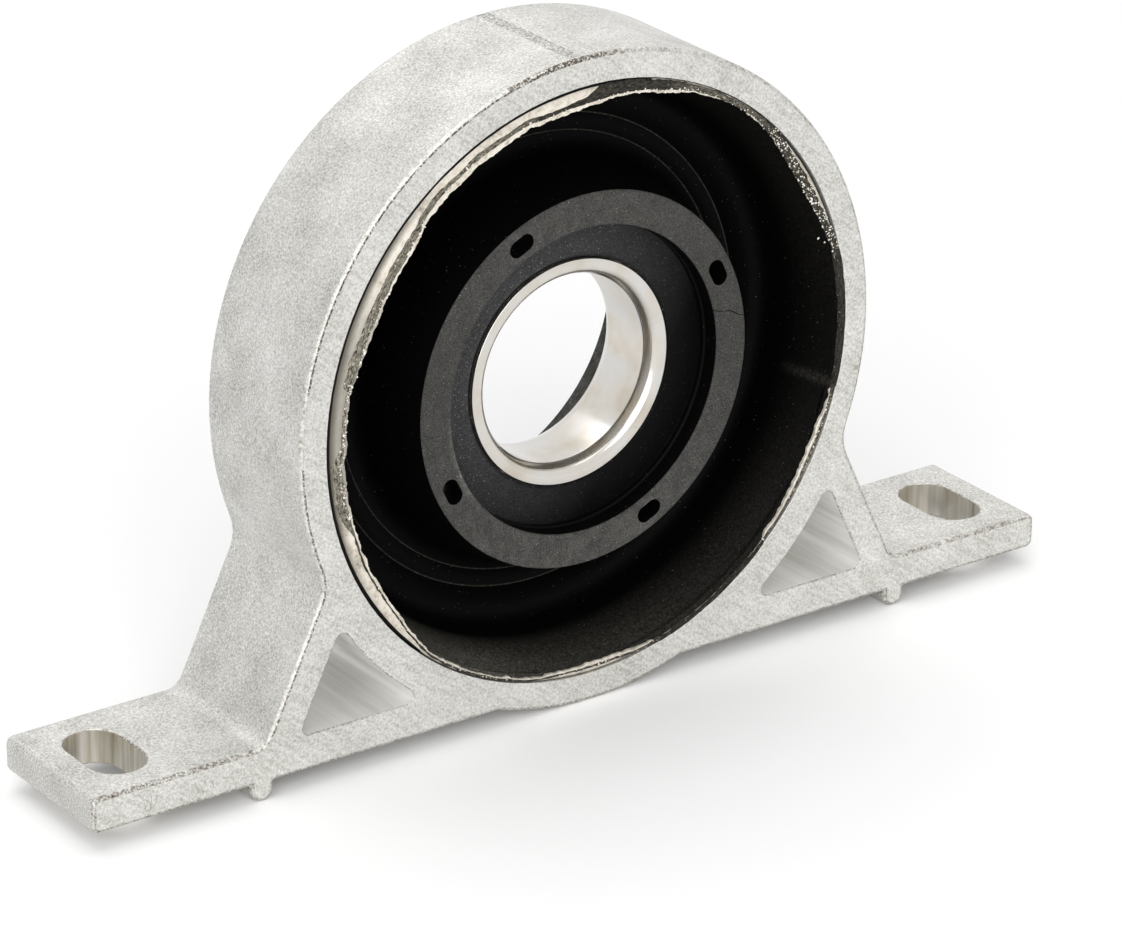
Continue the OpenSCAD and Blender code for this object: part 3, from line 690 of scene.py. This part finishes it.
# The torn mouth: skin and mouth follow the kinks, with a finer tear on top, and the wall fades back to true.
# Attributes keep the dust: how pale the crumbled skin is, and how much has settled on the wall and the hub.
# The wall's also holds a painted highlight along the mould lines.
# A spot of dust is its angle in degrees, half width and amount. The hub's first lies on the lip's edge.
DUSTY_WALL = (
    (240, 20, 0.42), (214, 10, 0.14), (275, 24, 0.14), (315, 25, 0.05), (347, 1.0, 0.1), (30, 30, 0.04),
)
DUSTY_HUB = ((200, 16, 0.75), (255, 40, 0.12), (300, 30, 0.12), (100, 40, 0.1))
HUB_DUST, REAR_DUST, LINE_HIGHLIGHT = 0.1, 0.5, 0.35
WALL_DUST_Y, WALL_DUST_RUN = -2.0, 7    # where the wall's dust begins, and how much further out it is full
LIP_DUST_W = 0.5
HUB_EDGE = 0.45           # depth of the hub's face with its rounded edge
SPILL_RISE = 0.25         # how far the spilt skin stands forward at its outer edge
TEAR_FADE = 4             # how far from the trough's bend the wall is true again
LIT_SIDE = (-0.82, 0.0, 0.57)    # towards the upper left
SIDE_SHADE_REACH = 15.5         # how far from the shaft's axis, towards the lower right and the upper left, the painted haze is none and full


def settled(turn, spots):
    """Dust at an angle in degrees, from spots of (angle, half width, amount)."""
    off = [((turn - at + 180) % 360 - 180) / width for at, width, _ in spots]
    return sum(amount * math.exp(-share ** 2) for share, (_, _, amount) in zip(off, spots))


skin_dust, wall_dust_and_highlight, hub_dust = (
    rubber.data.attributes.new(name, "FLOAT", "POINT") for name in ("skin_dust", "wall_dust_and_highlight", "hub_dust"))
fade_y = bend_y - TEAR_FADE
for vertex in rubber.data.vertices:
    along = vertex.co.y / MM
    radius = math.hypot(vertex.co.x, vertex.co.z) / MM
    turn = turn_of(vertex.co)
    if along > REAR_LIP_Y and radius < TROUGH_IN_R - 1:
        hub_dust.data[vertex.index].value = REAR_DUST
        continue
    if radius < HUB_R + 2 * HAIR and along < -HUB_Y + HUB_EDGE:
        near_lip = max(0.0, 1 - abs(radius - LIP_R - 0.3) / LIP_DUST_W)
        lip_dust = near_lip * settled(turn, DUSTY_HUB[:1])
        hub_dust.data[vertex.index].value = HUB_DUST + settled(turn, DUSTY_HUB[1:]) + lip_dust
        continue
    # Painted highlight: the mould lines' ridges are painted grey
    if along < TROUGH_FLOOR - 0.5 * MOULD_LINE_H and min(abs(radius - line) for line in MOULD_LINES) < 0.1:
        wall_dust_and_highlight.data[vertex.index].value = LINE_HIGHLIGHT
        continue
    if along > bend_y or radius < TROUGH_OUT_R - 0.1:
        continue
    mouth, edge, _, pale, _ = torn_edges(vertex.co)
    skin_dust.data[vertex.index].value = pale
    near_mouth = max(0.0, min(1.0, (WALL_DUST_Y - along) / WALL_DUST_RUN)) ** 0.7
    wall_dust_and_highlight.data[vertex.index].value = settled(turn, DUSTY_WALL) * near_mouth
    if radius > MOUTH_R + 0.5 and along > SKIN_Y + 0.4:
        continue
    if radius >= MOUTH_R:
        share = (radius - MOUTH_R) / (SKIN_R - MOUTH_R)
        new_radius = mouth + share * (edge - mouth)
        along += ragged(vertex.co, 0.1, 1.7 * MM, (0, 5, share))
        along = max(along - (SPILL_RISE * share if spilt(vertex.co) else 0.0), SKIN_FRONT)
    else:
        fade = max(0.0, (fade_y - along) / (fade_y - SKIN_Y)) ** 1.5
        new_radius = radius + fade * (mouth - MOUTH_R)
    vertex.co.x *= new_radius / radius
    vertex.co.z *= new_radius / radius
    vertex.co.y = along * MM


def round_axis(material, place, along_mm, across_mm):
    """Coordinates that run round the shaft's axis, so that a noise on them is drawn out along the rim."""
    turn, radius, depth = round_shaft(material, place)
    run = add(material, "Math", {0: turn, 1: SLEEVE_IN_R / along_mm}, operation="MULTIPLY").outputs[0]
    width = add(material, "Math", {0: radius, 1: per_mm(across_mm)}, operation="MULTIPLY").outputs[0]
    depth = add(material, "Math", {0: depth, 1: per_mm(across_mm)}, operation="MULTIPLY").outputs[0]
    return add(material, "CombineXYZ", {"X": run, "Y": width, "Z": depth}).outputs["Vector"]


def rubber_material(name, dusty, black, haze, dust, roughness, specular, cloud_mm, patchy, speck_mm,
                    speck_share, grain_depth, streak_mm=None):
    """Moulded rubber: black, hazed as far as the named dust attribute says, with pale specks of many sizes.
    Without an attribute the haze is painted light and shade: paler towards the upper left, blacker towards
    the lower right.
    The mould's grain is drawn coarse enough to show."""
    material, surface, place = new_material(name, roughness=roughness)
    surface.inputs["Specular IOR Level"].default_value = specular
    if dusty:
        dust_and_shade = add(material, "Attribute", attribute_name=dusty).outputs["Fac"]
    else:
        # Painted light and shade: the haze grows towards the upper left, and the rubber is blacker towards
        # the lower right
        side = add(material, "VectorMath", {0: place, 1: LIT_SIDE}, operation="DOT_PRODUCT")
        dust_and_shade = add(material, "MapRange", {"Value": side.outputs["Value"],
                                                  "From Min": -SIDE_SHADE_REACH * MM,
                                                  "From Max": SIDE_SHADE_REACH * MM}).outputs["Result"]
    where = {"Vector": place, "Scale": per_mm(cloud_mm)}
    if streak_mm:
        where = {"Vector": round_axis(material, place, streak_mm, cloud_mm), "Scale": 1.0}
    clouds = add(material, "TexNoise", dict(where, Detail=6, Roughness=0.7))
    uneven = add(material, "MapRange", {"Value": clouds.outputs["Fac"], "From Min": 0.36, "From Max": 0.66,
                                        "To Min": 1.0 - patchy, "To Max": 1.0 + 0.5 * patchy})
    hazed = add(material, "Math", {0: dust_and_shade, 1: uneven.outputs["Result"]}, operation="MULTIPLY")
    hazy = add(material, "Mix", {"Factor": hazed.outputs[0], 6: linear(black), 7: linear(haze)},
               data_type="RGBA")
    grain = add(material, "TexNoise", {"Vector": place, "Scale": per_mm(0.28), "Detail": 3, "Roughness": 0.7})
    mottle = add(material, "MapRange", {"Value": grain.outputs["Fac"], "From Min": 0.3, "From Max": 0.7,
                                        "To Min": 0.35, "To Max": 1.65})
    tone = add(material, "VectorMath", {0: hazy.outputs[2], "Scale": mottle.outputs["Result"]},
               operation="SCALE")
    specks = add(material, "TexVoronoi", {"Vector": place, "Scale": per_mm(speck_mm * 3), "Randomness": 1.0})
    chance = add(material, "SeparateColor", {"Color": specks.outputs["Color"]})
    largest = add(material, "MapRange", {"Value": chance.outputs["Red"], "From Min": 1.0 - speck_share,
                                         "From Max": 1.0, "To Min": 0.0, "To Max": 0.33})
    thick = add(material, "MapRange", {"Value": dust_and_shade, "To Min": 0.5, "To Max": 1.2})
    size = add(material, "Math", {0: largest.outputs["Result"], 1: thick.outputs["Result"]},
               operation="MULTIPLY")
    speck = add(material, "Math", {0: specks.outputs["Distance"], 1: size.outputs[0]}, operation="LESS_THAN")
    strength = add(material, "Math", {0: speck.outputs[0], 1: chance.outputs["Green"]}, operation="MULTIPLY")
    colour = add(material, "Mix", {"Factor": strength.outputs[0], 6: tone.outputs["Vector"], 7: linear(dust)},
                 data_type="RGBA")
    link(material, colour.outputs[2], surface.inputs["Base Color"])
    bump = add(material, "Bump", {"Height": grain.outputs["Fac"], "Strength": 1.0,
                                  "Distance": grain_depth * MM})
    link(material, bump.outputs["Normal"], surface.inputs["Normal"])
    return material


# Moulded rubber in the trough: black, painted near pure black as shade in the recess, with a haze of dust low
# on the wall.
trough_shaded_black = rubber_material("moulded_black_rubber", "wall_dust_and_highlight", "#020202", "#75736a", "#9b968a",
                               roughness=0.55, specular=0.06, cloud_mm=0.5, patchy=0.7, speck_mm=0.11,
                               speck_share=0.2, grain_depth=0.02)
# The hub's face has been handled: dusty grey with fine pale specks.
hub_grey = rubber_material("dusty_hub_rubber", "hub_dust", "#373634", "#6e6d69", "#b9b8b2",
                           roughness=0.75, specular=0.2, cloud_mm=2.0, patchy=0.8, speck_mm=0.1,
                           speck_share=0.4, grain_depth=0.05)
# Torn skin: brown-black and crumbly, in streaks along the rim, with pale crumbs of bonding coat ground in.
torn_skin = rubber_material("torn_rubber_skin", "skin_dust", "#0b0907", "#b5ae9d", "#e2dccf",
                            roughness=0.8, specular=0.2, cloud_mm=0.3, patchy=1.0, speck_mm=0.14,
                            speck_share=0.4, grain_depth=0.25, streak_mm=0.9)
TROUGH, HUB, SKIN = range(3)
SKIN_MIN_R = 41.0
for material in (trough_shaded_black, hub_grey, torn_skin):
    rubber.data.materials.append(material)
for face in rubber.data.polygons:
    centre = face.center / MM
    radius = math.hypot(centre.x, centre.z)
    hub_front = radius < HUB_R + 2 * HAIR and centre.y < -HUB_Y + 0.3
    hub_rear = radius < TROUGH_IN_R - 1 and centre.y > REAR_LIP_Y + 0.3
    if centre.y < SKIN_Y + 0.28 and radius > SKIN_MIN_R:
        face.material_index = SKIN
    elif hub_front or hub_rear:
        face.material_index = HUB
    else:
        face.material_index = TROUGH
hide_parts("rubber_mount")
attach(rubber, "mount")

# Crumbs of torn skin and bonding coat
# Where the skin tore from the mould, small pale crumbs cling to the mouth's edge and lie on the rim.
# Each is a lump of dried bonding coat, stuck where it broke off.

# Zones of crumbs: first and last angle in degrees, count, how far they spread across the skin, largest size
CRUMB_ZONES = (
    (350, 374, 12, 1.2, 0.25), (14, 46, 190, 1.5, 0.42), (44, 70, 60, 0.6, 0.3), (70, 91, 40, 0.3, 0.4),
    (92, 133, 60, 0.3, 0.35), (133, 167, 50, 0.4, 0.45), (167, 181, 60, 0.5, 0.42), (181, 194, 50, 0.8, 0.42),
    (194, 232, 30, 0.15, 0.3), (232, 262, 24, 0.2, 0.3), (262, 286, 26, 0.3, 0.35), (287, 313, 14, 1.0, 0.22),
    (314, 345, 40, 0.3, 0.35),
)
# Larger lumps: angle in degrees, radius, length across the rim, and width along it
LUMPS = (
    (17.0, 45.2, 0.5, 0.4), (18.6, 44.3, 0.6, 0.5), (74.0, 45.4, 0.7, 0.8), (78.0, 45.5, 0.35, 1.6),
    (105.0, 45.2, 1.0, 0.7), (120.3, 45.2, 1.1, 0.4), (133.6, 44.1, 1.4, 0.5), (160.0, 43.3, 0.6, 1.2),
    (162.0, 43.5, 0.5, 0.6), (166.7, 44.6, 1.3, 0.5), (179.6, 45.0, 0.8, 0.5), (314.2, 47.0, 1.2, 0.3),
)
CRUMB_T, LUMP_T = 0.28, 0.32    # greatest thickness of a crumb, and thickness of a lump
CRUMB_Y, LUMP_Y = SKIN_Y - 0.05, SKIN_Y - 0.02
bpy.ops.object.select_all(action="DESELECT")
bpy.ops.mesh.primitive_ico_sphere_add(subdivisions=1, radius=0.5 * MM)
crumb = bpy.context.object
apply_modifier(crumb, "SUBSURF", levels=1, render_levels=1)
for vertex in crumb.data.vertices:
    vertex.co *= 1.0 + ragged(vertex.co, 0.5, 0.45 * MM, (3, 1, 4))
crumb.data.shade_smooth()


def drop_crumb(shape):
    """Copies the crumb, and stretches and places the copy by a matrix."""
    lump = bpy.data.objects.new("crumb", crumb.data.copy())
    bpy.context.collection.objects.link(lump)
    lump.data.transform(shape)
    return lump


chance = random.Random(5)
crumbs = []
for first, last, count, spread, largest in CRUMB_ZONES:
    for i in range(count):
        turn = math.radians(chance.uniform(first, last))
        mouth = torn_edges(Vector((math.cos(turn), 0, math.sin(turn))))[0]
        radius = min(mouth + chance.uniform(-0.15, spread), SLEEVE_R - 0.2)
        size = largest * chance.uniform(0.35, 1.0)
        length = size * chance.uniform(0.7, 1.6)
        width = size * chance.uniform(0.7, 1.3)
        stretch = Matrix.Diagonal((length, min(0.8 * size, CRUMB_T), width, 1.0))
        place = Vector((radius * math.cos(turn), CRUMB_Y, radius * math.sin(turn))) * MM
        spun = Matrix.Rotation(chance.uniform(0, math.tau), 4, "Y")
        crumbs.append(drop_crumb(Matrix.Translation(place) @ spun @ stretch))
for turn, radius, length, width in LUMPS:
    place = Matrix.Translation(Vector((radius, LUMP_Y, 0)) * MM)
    stretch = Matrix.Diagonal((length, LUMP_T, width, 1.0))
    crumbs.append(drop_crumb(Matrix.Rotation(math.radians(-turn), 4, "Y") @ place @ stretch))
bpy.data.objects.remove(crumb)
bpy.ops.object.select_all(action="DESELECT")
for lump in crumbs:
    lump.select_set(True)
bpy.context.view_layer.objects.active = crumbs[0]
bpy.ops.object.join()
crumbs = bpy.context.object
crumbs.name = "torn_skin_crumbs"
crumbs.data.name = "torn_skin_crumbs"
# Dried bonding coat: chalky and cream, some of it browned.
chalk, chalk_surface, chalk_place = new_material("dried_bonding_coat", roughness=0.8)
chalk_cloud = add(chalk, "TexNoise", {"Vector": chalk_place, "Scale": per_mm(1.5), "Detail": 3})
chalk_tone = add(chalk, "ValToRGB", {"Fac": chalk_cloud.outputs["Fac"]},
                 stops=[(0.3, "#a89f8d"), (0.43, "#d8d2c4"), (0.58, "#efebe2")])
link(chalk, chalk_tone.outputs["Color"], chalk_surface.inputs["Base Color"])
crumbs.data.materials.append(chalk)
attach(crumbs, "mount")

# Ball bearing
# A standard sealed ball bearing: two hardened, ground rings, two rubber seals, and balls in a riveted cage.
# Only the inner ring's face and bore and the front seal show; the rest sits inside the rubber hub.

# Ground steel: bright and slightly warm, with faint brown and grey stains from oil.
ground, ground_surface, ground_place = new_material("ground_bearing_steel", metallic=1.0, roughness=0.2)
stain = add(ground, "TexNoise", {"Vector": ground_place, "Scale": per_mm(7.0), "Detail": 3})
stain_tone = add(ground, "ValToRGB", {"Fac": stain.outputs["Fac"]},
                 stops=[(0.32, "#c9c1b5"), (0.48, "#d3cec6"), (0.62, "#d6d4d0")])
link(ground, stain_tone.outputs["Color"], ground_surface.inputs["Base Color"])
# Seal rubber: smooth, black and matt, with fine grey dust; its grey haze is painted light and shade, paler
# towards the upper left and blacker towards the lower right.
seal_black = rubber_material("smooth_seal_rubber", None, "#030303", "#3f3f40", "#a3a39b",
                             roughness=0.6, specular=0.1, cloud_mm=3.0, patchy=0.2, speck_mm=0.1,
                             speck_share=0.4, grain_depth=0.01)
# Pressed steel sheet and rivets of the cage: dull grey.
pressed, pressed_surface, _ = new_material("pressed_cage_steel", metallic=1.0, roughness=0.4)
pressed_surface.inputs["Base Color"].default_value = linear("#b9b5aa")
# The inner ring is turned: its bore is rounded into both faces, and its outer corners are broken.
LEAD_IN_FACE_R, LEAD_IN_BORE_R = 15.9, 15.0
LEAD_IN_ROUND, BORE_ROUND_SHARE, CORNER_SHARE = 0.8, 0.4, 0.15
inner_ring = copy_of_node("bearing_inner_ring", "inner_ring")
mesh = inner_ring.data
weights = mesh.attributes.new("bevel_weight_edge", "FLOAT", "EDGE")
for edge in mesh.edges:
    start, end = (mesh.vertices[i].co / MM for i in edge.vertices)
    radius = math.hypot(start.x, start.z)
    if abs(start.y - end.y) > HAIR:
        continue
    if abs(abs(start.y) - BEARING_HALF) < HAIR:
        weights.data[edge.index].value = 1.0 if radius < LEAD_IN_FACE_R + 0.1 else CORNER_SHARE
    elif radius < LEAD_IN_BORE_R + 0.1:
        weights.data[edge.index].value = BORE_ROUND_SHARE
apply_modifier(inner_ring, "BEVEL", limit_method="WEIGHT", width=LEAD_IN_ROUND * MM, segments=5)
bpy.ops.object.shade_smooth_by_angle(angle=math.radians(30))
inner_ring.data.materials.clear()
inner_ring.data.materials.append(ground)
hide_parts("bearing_inner_ring")
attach(inner_ring, "inner_ring")
for node_name, node_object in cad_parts.items():
    if node_name.startswith("seal"):
        finish = seal_black
    elif node_name.startswith("cage"):
        finish = pressed
    elif node_name.startswith(("ball", "bearing")):
        finish = ground
    else:
        continue
    for slot in node_object.material_slots:
        slot.material = finish

# Floor and light
# A plain white studio floor in an even white room. One large soft lamp hangs almost overhead, a little to the
# rear, and a larger one stands at the front left, beside the camera.
FLOOR_SIZE = 6.0          # in metres, as are the lamps' sizes and distances
FLOOR_END, ROOM_START = 0.15, 0.4    # distances from the origin between which the floor runs into the room
ROOM_LIGHT = 0.42
bpy.ops.object.select_all(action="DESELECT")
bpy.ops.mesh.primitive_plane_add(size=FLOOR_SIZE, location=(0, 0, 0))
floor = bpy.context.object
floor.name = "studio_floor"
for vertex in floor.data.vertices:
    vertex.co.z = cad_box[0][2]


def seeing_ray(shading):
    """1 for a ray that sees the background, straight or in metal or glass, and 0 for one that only lights."""
    ray = add(shading, "LightPath")
    in_metal = add(shading, "Math", {0: ray.outputs["Is Camera Ray"], 1: ray.outputs["Is Glossy Ray"]},
                   operation="MAXIMUM")
    in_glass = add(shading, "Math", {0: in_metal.outputs[0], 1: ray.outputs["Is Transmission Ray"]},
                   operation="MAXIMUM")
    return in_glass.outputs[0]


# White painted floor: matt, and away from the object it runs into the white of the room.
white, floor_surface, floor_place = new_material("white_studio_floor", roughness=0.9)
floor_surface.inputs["Base Color"].default_value = linear("#ffffff")
distance = add(white, "VectorMath", {0: floor_place}, operation="LENGTH")
far = add(white, "MapRange", {"Value": distance.outputs["Value"], "From Min": FLOOR_END,
                              "From Max": ROOM_START}, interpolation_type="SMOOTHSTEP")
far_seen = add(white, "Math", {0: far.outputs["Result"], 1: seeing_ray(white)}, operation="MULTIPLY")
glow = add(white, "Emission", {"Strength": 1.0})
joined = add(white, "MixShader", {"Fac": far_seen.outputs[0], 1: floor_surface.outputs["BSDF"],
                                  2: glow.outputs["Emission"]})
link(white, joined.outputs["Shader"], white.node_tree.nodes["Material Output"].inputs["Surface"])
floor.data.materials.append(white)

world = bpy.data.worlds.new("white_room")
bpy.context.scene.world = world
world.use_nodes = True
room = world.node_tree.nodes["Background"]
room.inputs["Color"].default_value = linear("#ffffff")
room_strength = add(world, "MapRange", {"Value": seeing_ray(world), "To Min": ROOM_LIGHT, "To Max": 1.0})
link(world, room_strength.outputs["Result"], room.inputs["Strength"])


def facing(azimuth, elevation):
    """Turns something that looks down so that it looks at the origin from a direction, given in degrees."""
    round_about = Matrix.Rotation(math.radians(azimuth), 4, "Z")
    return round_about @ Matrix.Rotation(math.radians(90 - elevation), 4, "X")


def soft_lamp(name, azimuth, elevation, distance, size, power):
    """A square lamp that faces the object from a direction, given in degrees as for the camera."""
    lamp = bpy.data.lights.new(name, "AREA")
    lamp.size = size
    lamp.energy = power
    holder = bpy.data.objects.new(name, lamp)
    bpy.context.collection.objects.link(holder)
    holder.matrix_world = facing(azimuth, elevation) @ Matrix.Translation((0, 0, distance))


soft_lamp("overhead_softbox", azimuth=162, elevation=75, distance=1.2, size=1.4, power=8.3)
soft_lamp("front_softbox", azimuth=-40, elevation=22, distance=1.6, size=2.0, power=27.5)

# Camera
# The photograph's own viewpoint: a long lens, well back, a little above and to the left of the bearing.
# It was found from the bracket's own circles and straight edges.
CAMERA_AZIMUTH = -35.794
CAMERA_ELEVATION = 23.736
CAMERA_ROLL = 0.491
CAMERA_DISTANCE = 794.39
CAMERA_TARGET = Vector((3.746, 0.965, -19.309))
camera = bpy.data.cameras.new("camera")
camera.lens = 167.24
camera.sensor_width = 36.0
camera.sensor_fit = "HORIZONTAL"
camera.clip_end = 20.0
viewpoint = bpy.data.objects.new("camera", camera)
bpy.context.collection.objects.link(viewpoint)
aim = facing(CAMERA_AZIMUTH, CAMERA_ELEVATION) @ Matrix.Rotation(math.radians(CAMERA_ROLL), 4, "Z")
back = Matrix.Translation((0, 0, CAMERA_DISTANCE * MM))
viewpoint.matrix_world = Matrix.Translation(CAMERA_TARGET * MM) @ aim @ back
bpy.context.scene.camera = viewpoint
bpy.context.scene.view_settings.view_transform = "Standard"
